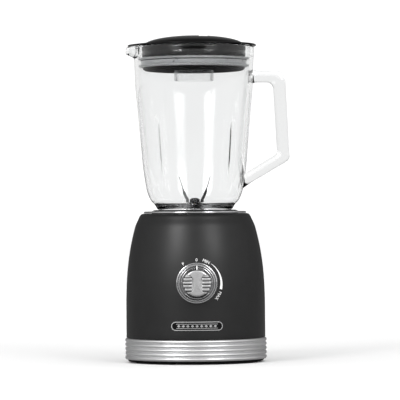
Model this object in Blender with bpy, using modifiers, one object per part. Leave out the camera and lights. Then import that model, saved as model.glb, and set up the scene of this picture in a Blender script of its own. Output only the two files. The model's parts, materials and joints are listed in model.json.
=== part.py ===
"""Countertop blender: a motor base, a lift-off glass jug with its blade unit, a lid and a measuring cup.

Lengths here are millimetres and become metres where a mesh is made. +Z is up, the speed knob faces -Y
and the jug's handle points along +X. The origin is on the worktop, under the motor's axis.
"""
from math import asin, cos, degrees as in_degrees, hypot, pi, radians, sin, sqrt

import bmesh
import bpy
from mathutils import Matrix, Vector

MM = 0.001
GAP = 0.3                   # clearance between neighbouring pieces
WIDE, MIDDLE, SMALL, TINY = 36, 28, 20, 12      # sides of a round piece, by its size

# Base
PLATE_BOTTOM = 1.8          # underside of the base plate; the feet reach down to the worktop
PLATE_R = 82.4
BAND_BOTTOM, BAND_TOP = 3.6, 29.5
BAND_TIP_R, BAND_VALLEY_R, BAND_BORE_R = 85.4, 83.1, 80.0
BEADS = 5
SIDE_R, SHOULDER_R = 83.8, 71.8         # housing radius at its foot and where the shoulder starts
SIDE_CURVE_Z, SHOULDER_Z = 60.0, 165.0  # the side curves inwards between these heights
SIDE_POWER = 2.58
HOUSING_TOP, HOUSING_TOP_R = 179.0, 61.8
WALL = 3.0
RECESS_R = 52.5             # hole in the housing's top that the jug seat fills
RING_TOP = 181.5
SEAT_FLOOR, SEAT_FLOOR_THICK, SEAT_HOLE_R = 162.5, 4.0, 16.0
FOOT_INNER_R, FOOT_OUTER_R, FOOT_HALF_ANGLE = 61.0, 79.5, 21.0
SCREW_CIRCLE_R = 66.0
SCREW_PLACES = {"front_right": 18, "back_right": 162, "back_left": 198, "front_left": 342}   # degrees
INLET_Z, INLET_R = 46.0, 6.0
BADGE_Z, BADGE_LENGTH, BADGE_HEIGHT = 45.8, 61.0, 10.6

# Speed knob, on the front
KNOB_Z, KNOB_R, BEZEL_R = 96.8, 20.9, 24.4
KNOB_BACK, KNOB_FACE = 87.6, 102.0      # distances in front of the motor's axis
BEZEL_FACE = 87.2
RECESS_DEPTH, RIB_PITCH = 2.2, 4.0
GRIP_R, GRIP_REACH, GRIP_BAR = 13.8, 11.4, 5.2      # the finger recesses: outer edge, height, inner edge

# Motor
STACK_LOW, STACK_HIGH = 78.0, 104.0
STATOR_X, STATOR_Y, BORE_R = 33.0, 28.0, 18.6
SHAFT_R = 3.9
POST_X = 33.0
COUPLING_R, COUPLING_TOP = 8.0, 163.6

# Jug and blades
JUG_TOP, NECK_BOTTOM, GLASS = 380.3, 172.0, 4.5
NECK_R, NECK_BORE_R = 43.5, 38.5
COLLAR_BOTTOM, COLLAR_R = 163.5, 48.6
SPOUT_REACH, SPOUT_LOW, SPOUT_FULL, SPOUT_HALF_ANGLE = 9.4, 365.0, 372.0, 24.0
RIB_DEPTH, RIB_TOP = 2.4, 296.0     # four upright ribs inside the wall, at the diagonals
HANDLE_HALF_DEPTH, HANDLE_ROUND = 9.5, 3.5
BLADE_THICK = 1.5

# Lid
BRIM_R, BRIM_TOP, BRIM_BOTTOM = 75.5, 383.1, 380.6
DOME_R, DOME_BASE, DOME_RISE = 60.5, 381.6, 11.9       # the dome is half an ellipse, seen from the side
SLOT_X, SLOT_WIDTH, SLOT_FLOOR = 11.2, 11.0, 391.2      # finger slot across the filler cap
CAP_R, CAP_SEAT = 30.0, 389.0
PLUG_BOTTOM, PLUG_R = 351.0, 60.0
CUP_R, CUP_BOTTOM, CUP_WALL, SLEEVE_R = 24.4, 339.0, 1.8, 27.0

FINISHES = {
    "soft_black": ((0.030, 0.030, 0.032), 0.62, 0.0),
    "gloss_black": ((0.008, 0.008, 0.009), 0.12, 0.0),
    "black_plastic": ((0.020, 0.020, 0.022), 0.45, 0.0),
    "chrome": ((0.78, 0.78, 0.79), 0.10, 1.0),
    "satin_chrome": ((0.62, 0.62, 0.63), 0.30, 1.0),
    "steel": ((0.55, 0.55, 0.56), 0.28, 1.0),
    "silicon_steel": ((0.28, 0.28, 0.30), 0.50, 1.0),
    "copper": ((0.72, 0.35, 0.18), 0.35, 1.0),
    "brass": ((0.75, 0.58, 0.27), 0.35, 1.0),
    "carbon": ((0.02, 0.02, 0.02), 0.70, 0.0),
    "rubber": ((0.015, 0.015, 0.016), 0.85, 0.0),
    "silicone": ((0.45, 0.46, 0.47), 0.45, 0.0),
    "glass": ((0.92, 0.95, 0.95), 0.03, 0.0),
    "board_green": ((0.03, 0.16, 0.07), 0.50, 0.0),
    "white_mark": ((0.85, 0.85, 0.85), 0.50, 0.0),
}


def start_scene():
    for obj in list(bpy.data.objects):
        bpy.data.objects.remove(obj, do_unlink=True)
    collections = []
    for name in ("countertop_blender", "cutters"):
        collection = bpy.data.collections.new(name)
        bpy.context.scene.collection.children.link(collection)
        collections.append(collection)
    collections[1].hide_render = True
    return collections


PARTS, CUTTERS = start_scene()


def finish(name):
    """The material of this name, made the first time it is asked for."""
    if name not in bpy.data.materials:
        colour, roughness, metallic = FINISHES[name]
        material = bpy.data.materials.new(name)
        material.use_nodes = True
        shader = material.node_tree.nodes["Principled BSDF"]
        shader.inputs["Base Color"].default_value = (*colour, 1)
        shader.inputs["Roughness"].default_value = roughness
        shader.inputs["Metallic"].default_value = metallic
        if name == "glass":
            shader.inputs["Transmission Weight"].default_value = 1.0
    return bpy.data.materials[name]


def place(name, data, look, at=(0, 0, 0), turn=(0, 0, 0)):
    """Links the mesh or curve as an object. A look of None makes it a hidden cutter."""
    obj = bpy.data.objects.new(name, data)
    obj.location = Vector(at) * MM
    obj.rotation_euler = turn
    if look is None:
        obj.hide_render = True
        obj.display_type = "WIRE"
        CUTTERS.objects.link(obj)
    else:
        data.materials.append(finish(look))
        PARTS.objects.link(obj)
    return obj


FACING_FRONT = (pi / 2, 0, 0)   # turns a piece's own +Z to world -Y
FACING_BACK = (-pi / 2, 0, 0)   # turns a piece's own +Z to world +Y


def turned(name, outline, look, steps=WIDE, at=(0, 0, 0), turn=(0, 0, 0)):
    """A turned solid. Its outline of (radius, height) points runs down the outer side; one that stays
    clear of the axis is closed into a ring."""
    mesh = bpy.data.meshes.new(name)
    links = [(i, i + 1) for i in range(len(outline) - 1)]
    if all(radius > 0 for radius, _ in outline):
        links.append((len(outline) - 1, 0))
    mesh.from_pydata([(radius * MM, 0, height * MM) for radius, height in outline], links, [])
    obj = place(name, mesh, look, at, turn)
    screw = obj.modifiers.new("Turn", "SCREW")
    screw.steps = screw.render_steps = steps
    screw.use_merge_vertices = True
    screw.merge_threshold = 0.00001
    screw.use_smooth_shade = True
    return obj


def tube(name, inner, outer, low, high, look, **options):
    return turned(name, [(inner, high), (outer, high), (outer, low), (inner, low)], look, **options)


def rod(name, radius, low, high, look, steps=SMALL, at=(0, 0, 0), turn=(0, 0, 0)):
    builder = bmesh.new()
    bmesh.ops.create_cone(builder, cap_ends=True, segments=steps, radius1=radius * MM, radius2=radius * MM,
                          depth=(high - low) * MM)
    bmesh.ops.translate(builder, verts=builder.verts, vec=(0, 0, (low + high) / 2 * MM))
    return from_builder(name, builder, look, at, turn)


def block(name, size, centre, look, bevel=0.0, turn=(0, 0, 0)):
    builder = bmesh.new()
    bmesh.ops.create_cube(builder, size=1)
    bmesh.ops.scale(builder, verts=builder.verts, vec=Vector(size) * MM)
    if bevel:
        bmesh.ops.bevel(builder, geom=builder.edges[:], offset=bevel * MM, segments=1, affect="EDGES")
    return from_builder(name, builder, look, centre, turn)


def from_builder(name, builder, look, at=(0, 0, 0), turn=(0, 0, 0)):
    mesh = bpy.data.meshes.new(name)
    builder.to_mesh(mesh)
    builder.free()
    return place(name, mesh, look, at, turn)


def evaluated_mesh(obj):
    """The object's mesh with its modifiers applied and its seams welded, in its own space."""
    bpy.context.view_layer.update()
    graph = bpy.context.evaluated_depsgraph_get()
    mesh = bpy.data.meshes.new_from_object(obj.evaluated_get(graph))
    builder = bmesh.new()
    builder.from_mesh(mesh)
    bmesh.ops.remove_doubles(builder, verts=builder.verts, dist=0.00001)
    builder.to_mesh(mesh)
    builder.free()
    return mesh


def settled(obj, look):
    """Replaces a curve or a piece with modifiers by the plain mesh it makes."""
    mesh, name, at, turn = evaluated_mesh(obj), obj.name, obj.location / MM, obj.rotation_euler[:]
    bpy.data.objects.remove(obj, do_unlink=True)
    mesh.name = name
    mesh.materials.clear()
    return place(name, mesh, look, at, turn)


def slab(name, outline, low, high, look, rounding=0.0, at=(0, 0, 0), turn=(0, 0, 0)):
    """A flat outline of (x, y) points, made solid from low to high along its own Z."""
    curve = bpy.data.curves.new(name, "CURVE")
    curve.dimensions = "2D"
    curve.fill_mode = "BOTH"
    curve.extrude = ((high - low) / 2 - rounding) * MM
    curve.bevel_depth = rounding * MM
    curve.bevel_resolution = 1
    curve.offset = -rounding * MM
    spline = curve.splines.new("POLY")
    spline.points.add(len(outline) - 1)
    for point, (x, y) in zip(spline.points, outline):
        point.co = (x * MM, y * MM, 0, 1)
    spline.use_cyclic_u = True
    flat = place(name, curve, None)
    mesh = evaluated_mesh(flat)
    mesh.transform(Matrix.Translation((0, 0, (low + high) / 2 * MM)))
    bpy.data.objects.remove(flat, do_unlink=True)
    mesh.name = name
    mesh.materials.clear()
    return place(name, mesh, look, at, turn)


def combine(obj, other, operation):
    modifier = obj.modifiers.new(other.name, "BOOLEAN")
    modifier.operation = operation
    modifier.object = other
    return obj


def cut(obj, *others):
    for other in others:
        combine(obj, other, "DIFFERENCE")
    return obj


def join(obj, *others):
    for other in others:
        combine(obj, other, "UNION")
    return obj


def arc(centre, radius, first, last, steps):
    """Points on a circle from one angle to another, in degrees."""
    angles = [radians(first + (last - first) * i / steps) for i in range(steps + 1)]
    return [(centre[0] + radius * cos(a), centre[1] + radius * sin(a)) for a in angles]


def around(radius, degrees):
    """The place at this radius from the motor's axis, the angle counted from the front."""
    return radius * sin(radians(degrees)), -radius * cos(radians(degrees))


# ---------------------------------------------------------------- base

def side_radius(height):
    """Outer radius of the housing's side."""
    rise = max(0.0, height - SIDE_CURVE_Z) / (SHOULDER_Z - SIDE_CURVE_Z)
    return SIDE_R - (SIDE_R - SHOULDER_R) * rise ** SIDE_POWER


def housing_side(offset):
    """The housing's outer side from its top edge down, moved outwards by offset."""
    shoulder = [(HOUSING_TOP_R, HOUSING_TOP), (64.9, 178.2), (66.8, 175.9), (68.6, 172.0), (70.2, 168.5)]
    heights = [165.0, 157.0, 147.0, 135.0, 120.0, 100.0, 78.0, 60.0]
    side = [(side_radius(height), height) for height in heights]
    return [(radius + offset, height) for radius, height in shoulder + side]


def make_housing():
    foot = BAND_TOP + GAP
    inner = [(SIDE_R - WALL, foot), (side_radius(100) - WALL, 100), (side_radius(135) - WALL, 135),
             (side_radius(157) - WALL, 156), (66.5, 170), (61.0, HOUSING_TOP - WALL)]
    outline = housing_side(0) + [(SIDE_R, foot)] + inner
    outline += [(RECESS_R, HOUSING_TOP - WALL), (RECESS_R, HOUSING_TOP)]
    housing = turned("base_housing", outline, "soft_black")
    for degrees in SCREW_PLACES.values():
        x, y = around(SCREW_CIRCLE_R, degrees)
        boss = rod(f"boss_{degrees}", 4.2, 5.4, 66, None, TINY, at=(x, y, 0))
        fin_x, fin_y = around((SCREW_CIRCLE_R + SIDE_R - 1.6) / 2, degrees)
        reach = SIDE_R - 1.6 - SCREW_CIRCLE_R
        fin = block(f"fin_{degrees}", (3, reach, 22), (fin_x, fin_y, 51), None,
                    turn=(0, 0, radians(degrees)))
        bore = rod(f"boss_bore_{degrees}", 2.0, 4, 22, None, TINY, at=(x, y, 0))
        join(housing, boss, fin)
        cut(housing, bore)
    cut(housing, rod("spindle_hole", 9.0, 60, 95, None, at=(0, 0, KNOB_Z), turn=FACING_FRONT))
    cut(housing, rod("inlet_hole", INLET_R + GAP, 60, 95, None, at=(0, 0, INLET_Z), turn=FACING_BACK))


def make_trim_band():
    """A chrome band of round beads, one above the other."""
    pitch = (BAND_TOP - BAND_BOTTOM) / BEADS
    outline = [(BAND_BORE_R, BAND_TOP), (BAND_VALLEY_R, BAND_TOP)]
    for bead in range(BEADS):
        top = BAND_TOP - bead * pitch
        outline += [(BAND_TIP_R, top - 0.32 * pitch), (BAND_TIP_R, top - 0.68 * pitch),
                    (BAND_VALLEY_R, top - pitch)]
    turned("trim_band", outline + [(BAND_BORE_R, BAND_BOTTOM)], "chrome")


def make_base_plate():
    """The cover under the base: a disc with an upright wall inside the band, slots that let cooling
    air in, and counterbored screw holes."""
    step = BAND_BOTTOM - GAP
    wall = BAND_BORE_R - GAP
    plate = turned("base_plate", [
        (0, 5), (76.5, 5), (76.5, 36), (wall, 36), (wall, step), (PLATE_R, step),
        (PLATE_R - 0.9, PLATE_BOTTOM), (0, PLATE_BOTTOM)], "black_plastic")
    for degrees in SCREW_PLACES.values():
        x, y = around(SCREW_CIRCLE_R, degrees)
        cut(plate, rod(f"plate_hole_{degrees}", 2.1, 0, 8, None, TINY, at=(x, y, 0)),
            rod(f"head_seat_{degrees}", 4.0, 0, 3.6, None, TINY, at=(x, y, 0)))
    for degrees in range(15, 360, 30):
        x, y = around(38, degrees)
        cut(plate, block(f"air_slot_{degrees}", (3.2, 22, 9), (x, y, 3.5), None,
                         turn=(0, 0, radians(degrees))))


def make_feet():
    for name, degrees in (("foot_front_right", 45), ("foot_back_right", 135),
                          ("foot_back_left", 225), ("foot_front_left", 315)):
        outer = arc((0, 0), FOOT_OUTER_R, -FOOT_HALF_ANGLE, FOOT_HALF_ANGLE, 8)
        inner = arc((0, 0), FOOT_INNER_R, FOOT_HALF_ANGLE, -FOOT_HALF_ANGLE, 8)
        slab(name, outer + inner, 0, PLATE_BOTTOM - GAP, "rubber", turn=(0, 0, radians(degrees - 90)))


def screw_shape(name, at, head_r, head_low, head_high, shank_r, tip, look="steel"):
    """A screw on its own vertical axis. The tip is its far end, above or below the head."""
    head = rod(name, head_r, head_low, head_high, look, TINY, at=at)
    low, high = min(tip, head_low + 0.2), max(tip, head_high - 0.2)
    return join(head, rod(f"{name}_shank", shank_r, low, high, None, TINY, at=at))


def make_base_screws():
    for place_name, degrees in SCREW_PLACES.items():
        screw_shape(f"base_screw_{place_name}", (*around(SCREW_CIRCLE_R, degrees), 0), 3.6, 1.9, 3.3, 1.6, 20)


def make_top():
    """The chrome ring round the top and the recessed seat that the jug's collar drops into."""
    turned("top_trim_ring", [
        (RECESS_R, RING_TOP - 0.3), (RECESS_R + 0.5, RING_TOP), (HOUSING_TOP_R - 1.2, RING_TOP),
        (HOUSING_TOP_R, RING_TOP - 0.8), (HOUSING_TOP_R, HOUSING_TOP + GAP),
        (RECESS_R, HOUSING_TOP + GAP)], "chrome")
    outer, under = RECESS_R - GAP, HOUSING_TOP - WALL - GAP
    low = SEAT_FLOOR - SEAT_FLOOR_THICK
    seat = turned("jug_seat", [
        (COLLAR_R + 0.6, RING_TOP - 0.7), (outer, RING_TOP - 0.7), (outer, under), (57, under),
        (57, under - 3), (outer, under - 3), (outer, low), (SEAT_HOLE_R, low),
        (SEAT_HOLE_R, SEAT_FLOOR), (COLLAR_R + 0.6, SEAT_FLOOR)], "black_plastic", MIDDLE)
    for side, x in (("left", -POST_X), ("right", POST_X)):
        cut(seat, rod(f"post_hole_{side}", 2.1, 150, 170, None, TINY, at=(x, 0, 0)),
            rod(f"post_head_seat_{side}", 4.0, SEAT_FLOOR - 2, 170, None, TINY, at=(x, 0, 0)))
        screw_shape(f"motor_screw_{side}", (x, 0, 0), 3.6, SEAT_FLOOR - 1.7, SEAT_FLOOR - 0.3, 1.6, 144)


def make_badge():
    """A pill-shaped badge that follows the housing's curve."""
    radius = BADGE_HEIGHT / 2
    half = BADGE_LENGTH / 2 - radius
    outline = arc((half, 0), radius, -90, 90, 8) + arc((-half, 0), radius, 90, 270, 8)
    pill = slab("badge_outline", outline, 60, 95, None, at=(0, 0, BADGE_Z), turn=FACING_FRONT)
    badge = tube("badge", SIDE_R + GAP, SIDE_R + 1.7, BADGE_Z - 8, BADGE_Z + 8, "chrome", steps=96)
    combine(badge, pill, "INTERSECT")


def make_cord_inlet():
    """A bushing at the back where the mains lead enters."""
    turned("cord_inlet", [
        (3.9, 88.2), (8.0, 88.2), (9.0, 87.2), (9.0, SIDE_R + GAP), (INLET_R, SIDE_R + GAP),
        (INLET_R, 75), (3.9, 75)], "black_plastic", SMALL, at=(0, 0, INLET_Z), turn=FACING_BACK)


# ---------------------------------------------------------------- speed knob

def make_bezel():
    bezel = turned("knob_bezel", [
        (8.6, BEZEL_FACE), (BEZEL_R - 0.9, BEZEL_FACE), (BEZEL_R, BEZEL_FACE - 0.9), (BEZEL_R, 74),
        (8.6, 74)], "chrome", MIDDLE, at=(0, 0, KNOB_Z), turn=FACING_FRONT)
    body = turned("housing_body", [(0, HOUSING_TOP)] + housing_side(GAP) + [(SIDE_R + GAP, 30), (0, 30)],
                  None)
    cut(bezel, body)


def grip_outline(side):
    """A D-shaped finger recess beside the knob's grip bar, straight edge inwards."""
    first = in_degrees(asin(GRIP_REACH / GRIP_R))
    points = arc((0, 0), GRIP_R, -first, first, 8)
    points += [(GRIP_BAR, GRIP_REACH), (GRIP_BAR, -GRIP_REACH)]
    return points if side > 0 else [(-x, y) for x, y in reversed(points)]


def make_knob():
    """The knob turns about its own Z, which faces the front."""
    at = (0, 0, KNOB_Z)
    knob = turned("speed_knob", [
        (0, KNOB_FACE), (15.6, KNOB_FACE), (KNOB_R - 0.8, KNOB_FACE - 4.2), (KNOB_R, KNOB_FACE - 5.4),
        (KNOB_R, KNOB_BACK), (0, KNOB_BACK)], "satin_chrome", MIDDLE, at=at, turn=FACING_FRONT)
    knob = settled(knob, "satin_chrome")
    for side, word in ((-1, "left"), (1, "right")):
        recess = slab(f"grip_recess_{word}", grip_outline(side), KNOB_FACE - RECESS_DEPTH, KNOB_FACE + 5,
                      None, at=at, turn=FACING_FRONT)
        cut(knob, recess)
        for rib in range(-2, 3):
            reach = sqrt(GRIP_R ** 2 - (rib * RIB_PITCH) ** 2) - 0.2
            width = reach - GRIP_BAR + 1.2
            centre = (side * (GRIP_BAR - 1.0 + width / 2), -(KNOB_FACE - RECESS_DEPTH / 2 - 0.6),
                      KNOB_Z + rib * RIB_PITCH)
            join(knob, block(f"grip_rib_{word}_{rib}", (width, RECESS_DEPTH, 1.5), centre, None))
    cut(knob, block("pointer_slot", (1.9, 20, 6.4), (0, -KNOB_FACE - 6, KNOB_Z + 18.4), None))
    cut(knob, rod("spindle_socket", 3.3, KNOB_BACK - 5, KNOB_BACK + 7, None, TINY, at=at,
                  turn=FACING_FRONT))
    return knob


def make_knob_details():
    at = (0, 0, KNOB_Z)
    rod("knob_spindle", 3.0, 70, KNOB_BACK + 6.7, "steel", TINY, at=at, turn=FACING_FRONT)
    switch = block("rotary_switch", (26, 12, 26), (0, -64, KNOB_Z), "black_plastic", bevel=1.0)
    cut(switch, rod("switch_bore", 3.3, 66, 95, None, TINY, at=at, turn=FACING_FRONT))
    block("control_board", (64, 1.6, 44), (0, -54, KNOB_Z - 6), "board_green")


# ---------------------------------------------------------------- motor

def make_stator():
    """The field core with its pole gap, and the two field coils round its poles."""
    centre = (STACK_LOW + STACK_HIGH) / 2
    height = STACK_HIGH - STACK_LOW
    stator = block("motor_stator", (2 * STATOR_X, 2 * STATOR_Y, height), (0, 0, centre), "silicon_steel")
    cut(stator, rod("stator_bore", BORE_R, STACK_LOW - 5, STACK_HIGH + 5, None))
    for x in (-1, 1):
        for y in (-1, 1):
            cut(stator, block(f"coil_window_{x}_{y}", (7.4, 11, height + 10),
                              (x * 17, y * 18.5, centre), None))
    for word, x in (("left", -17), ("right", 17)):
        coil = bpy.data.curves.new(f"field_coil_{word}", "CURVE")
        coil.dimensions = "3D"
        coil.bevel_depth = 2.4 * MM
        coil.bevel_resolution = 2
        low, high, reach = STACK_LOW - 5, STACK_HIGH + 5, 20.5
        corners = [(-reach, low, 180), (reach, low, 270), (reach, high, 0), (-reach, high, 90)]
        route = []
        for y, z, first in corners:
            inset = (y - 4 * (1 if y > 0 else -1), z - 4 * (1 if z > centre else -1))
            route += arc(inset, 4, first, first + 90, 3)
        spline = coil.splines.new("POLY")
        spline.points.add(len(route) - 1)
        for point, (y, z) in zip(spline.points, route):
            point.co = (x * MM, y * MM, z * MM, 1)
        spline.use_cyclic_u = True
        place(f"field_coil_{word}", coil, "copper")


def make_bracket(name, plate_low, leg_low, leg_high):
    """A bridge over the stator's end that holds a bearing."""
    plate = block(name, (72, 20, 3), (0, 0, plate_low + 1.5), "steel")
    middle = (leg_low + leg_high) / 2
    for word, x in (("left", -POST_X), ("right", POST_X)):
        join(plate, block(f"{name}_leg_{word}", (6, 20, leg_high - leg_low), (x, 0, middle), None))
    return cut(plate, rod(f"{name}_bore", 9.3, plate_low - 5, plate_low + 8, None))


def make_motor_frame():
    make_bracket("lower_motor_bracket", 50, 50.5, STACK_LOW - GAP)
    upper = make_bracket("upper_motor_bracket", 128, STACK_HIGH + GAP, 130.5)
    post_top = SEAT_FLOOR - SEAT_FLOOR_THICK - GAP
    for word, x in (("left", -POST_X), ("right", POST_X)):
        join(upper, rod(f"motor_post_{word}", 4.4, 129, post_top, None, TINY, at=(x, 0, 0)))
        cut(upper, rod(f"motor_post_bore_{word}", 2.0, 141, 170, None, TINY, at=(x, 0, 0)))
    tube("lower_bearing", SHAFT_R + GAP, 9.0, 48, 55, "steel", steps=SMALL)
    tube("upper_bearing", SHAFT_R + GAP, 9.0, 126, 133, "steel", steps=SMALL)
    for word, y in (("front", -1), ("back", 1)):
        block(f"carbon_brush_{word}", (5, 12, 5), (0, y * 17.2, 115), "carbon")
        holder = block(f"brush_holder_{word}", (8, 13, 8), (0, y * 19.5, 115), "brass")
        cut(holder, block(f"brush_channel_{word}", (5.6, 30, 5.6), (0, y * 19.5, 115), None))


def make_rotor():
    bore = SHAFT_R + GAP
    rod("motor_shaft", SHAFT_R, 42, 157.5, "steel")
    turned("armature_core", [
        (bore, 108), (11, 108), (13.2, 106), (13.2, STACK_HIGH), (17.9, STACK_HIGH), (17.9, STACK_LOW),
        (13.2, STACK_LOW), (13.2, 75), (11, 73), (bore, 73)], "copper", SMALL)
    tube("commutator", bore, 10.4, 109.5, 121, "copper", steps=SMALL)
    fan = turned("cooling_fan", [(bore, 68), (8, 68), (8, 60.5), (26, 60.5), (26, 58.5), (bore, 58.5)],
                 "black_plastic", SMALL)
    for blade in range(9):
        degrees = blade * 40
        x, y = around(16.4, degrees)
        join(fan, block(f"fan_blade_{blade}", (1.6, 18.6, 7.4), (x, y, 63.7), None,
                        turn=(0, 0, radians(degrees))))
    make_drive_coupling(bore)


def star(outer, inner):
    """A six-toothed outline."""
    points = []
    for tooth in range(6):
        for offset, radius in ((-11, outer), (11, outer), (22, inner), (38, inner)):
            angle = radians(tooth * 60 + offset)
            points.append((radius * cos(angle), radius * sin(angle)))
    return points


def make_drive_coupling(bore):
    """The toothed driver on the motor's shaft, which stands up into the jug's socket."""
    low = 149.0
    driver = slab("drive_coupling", star(COUPLING_R, 5.9), low + 2, COUPLING_TOP, "black_plastic")
    join(driver, rod("driver_flange", 12, low, low + 3, None))
    cut(driver, rod("driver_bore", bore, low - 5, 158, None, TINY))


# ---------------------------------------------------------------- jug

JUG_SIDE = [(72.8, 369), (72.2, 364), (71.0, 332), (68.1, 300), (65.4, 268), (62.3, 235),
            (59.2, 214), (57.6, 206), (53.0, 195), (48.6, 190)]


def shape_jug_wall(mesh):
    """Draws the rim out into a pouring spout on the left and raises upright ribs inside the wall."""
    for vertex in mesh.vertices:
        x, y, z = vertex.co / MM
        radius = hypot(x, y)
        from_left = in_degrees(Vector((x, y)).angle(Vector((-1, 0))))
        height = (z - SPOUT_LOW) / (SPOUT_FULL - SPOUT_LOW)
        if from_left < SPOUT_HALF_ANGLE and height > 0:
            swell = cos(pi / 2 * from_left / SPOUT_HALF_ANGLE) ** 2 * min(1.0, height)
            radius += SPOUT_REACH * swell
        if RIB_TOP > z > NECK_BOTTOM + 16 and is_inside(radius, z) and on_rib(x, y):
            radius -= RIB_DEPTH
        vertex.co = Vector((x, y, 0)).normalized() * radius * MM + Vector((0, 0, z * MM))


def is_inside(radius, height):
    """Whether a point of the wall belongs to its inner face."""
    outer = next(r for r, z in JUG_SIDE if z <= height + 5)
    return radius < outer - GLASS / 2


def on_rib(x, y):
    """Whether this place is within 7 degrees of a diagonal."""
    return abs(abs(x) - abs(y)) < 2 * hypot(x, y) * sin(radians(7)) * cos(pi / 4)


def handle_outline():
    """The moulded handle seen from the front: its arms leave the wall high and low."""
    outer = [(68.9, 350.7)] + arc((99.6, 339.7), 11, 90, 0, 4) + [(114.9, 256)]
    outer += arc((107.0, 247.7), 8, -2, -59, 3) + [(56.6, 209.0)]
    inner = [(58.0, 225.2)] + arc((91.5, 254.9), 8, -58, -4, 3) + [(95.4, 328)]
    inner += arc((87.6, 328.6), 8, 0, 90, 3) + [(68.9, 336.6)]
    return list(reversed(outer + inner))


def make_jug():
    inside = [(r - GLASS, z) for r, z in JUG_SIDE if z != 190]
    outline = [(71.0, JUG_TOP), (72.8, JUG_TOP - 1.6)] + JUG_SIDE
    outline += [(45.3, 184.4), (NECK_R, 183.6), (NECK_R, NECK_BOTTOM), (NECK_BORE_R, NECK_BOTTOM)]
    outline += [(NECK_BORE_R, 186)] + list(reversed(inside)) + [(68.8, JUG_TOP)]
    jug = settled(turned("jug_glass", outline, "glass"), "glass")
    shape_jug_wall(jug.data)
    handle = slab("jug_handle", handle_outline(), -HANDLE_HALF_DEPTH, HANDLE_HALF_DEPTH, None,
                  rounding=HANDLE_ROUND, turn=FACING_FRONT)
    join(jug, handle)


def make_collar():
    """The screw-on collar that clamps the blade unit to the glass, and its seal."""
    turned("jug_collar", [
        (NECK_R + 0.5, 183.2), (46.2, 183.2), (49.8, 182.9), (52.0, 181.8), (COLLAR_R, 181.8),
        (COLLAR_R, COLLAR_BOTTOM + 1), (COLLAR_R - 1, COLLAR_BOTTOM), (31, COLLAR_BOTTOM),
        (31, 166.7), (NECK_R + 0.5, 166.7)], "black_plastic", MIDDLE)
    tube("jug_gasket", NECK_BORE_R + 0.1, NECK_R - 0.2, 170.0, NECK_BOTTOM - GAP, "silicone", steps=MIDDLE)


def make_blade_mount():
    turned("blade_mount", [
        (6.3, 187), (8.2, 187), (8.6, 182.4), (14, 180.6), (34, 177.6), (37.4, 175), (37.8, 169.7),
        (43, 169.7), (43, 167), (34, 167), (32.4, 174), (12, 177.4), (9.5, 168.2), (6.3, 168.2)],
        "steel", MIDDLE)
    tube("shaft_bush", SHAFT_R + GAP, 6.0, 168.6, 186.6, "brass", steps=SMALL)


def make_socket():
    """The driven socket under the jug, which drops over the motor's toothed driver."""
    low, web, top = 158.0, COUPLING_TOP + 0.5, 167.6
    socket = rod("driven_coupling", 13, low, top, "black_plastic")
    cut(socket, slab("socket_hollow", star(COUPLING_R + 0.7, 6.6), low - 3, web, None))
    cut(socket, rod("socket_bore", SHAFT_R + GAP, low, top + 3, None))


def wing(name, height, look, length, lift, root, tip, degrees):
    """A stamped blade: two wings that taper from root to tip width, bent up or down by lift at the tips."""
    hub = 0.38          # share of the length that stays flat
    builder = bmesh.new()
    bmesh.ops.create_grid(builder, x_segments=16, y_segments=2, size=1)
    for vertex in builder.verts:
        along, across = vertex.co.x, vertex.co.y
        share = max(0.0, abs(along) - hub) / (1 - hub)
        half_width = (root + (tip - root) * share) / 2
        vertex.co = Vector((length * along, half_width * across, lift * share)) * MM
    obj = from_builder(name, builder, look, at=(0, 0, height), turn=(0, 0, radians(degrees)))
    thick = obj.modifiers.new("Thickness", "SOLIDIFY")
    thick.thickness = BLADE_THICK * MM
    thick.offset = 1
    return cut(obj, rod(f"{name}_bore", SHAFT_R + GAP, -5, 8, None, at=(0, 0, height)))


def make_blades():
    bore = SHAFT_R + GAP
    rod("blade_shaft", SHAFT_R, COUPLING_TOP + 0.8, 195.6, "steel")
    tube("thrust_washer", bore, 7.0, 187.3, 188.1, "steel", steps=SMALL)
    wing("lower_blade", 188.4, "steel", 27, -1.6, 13, 7, -60)
    tube("blade_spacer", bore, 6.2, 190.2, 191.4, "steel", steps=SMALL)
    wing("upper_blade", 191.7, "steel", 20, 32, 13, 3, -20)
    nut = turned("cap_nut", [(0, 198.4), (3.6, 197.9), (6.0, 196.3), (6.0, 194.0), (0, 194.0)], "steel", TINY)
    cut(nut, rod("nut_bore", bore, 190, 196.2, None))


# ---------------------------------------------------------------- lid

def dome_height(radius):
    """Height of the lid's shallow dome."""
    return DOME_BASE + DOME_RISE * sqrt(1 - (radius / DOME_R) ** 2)


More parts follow.
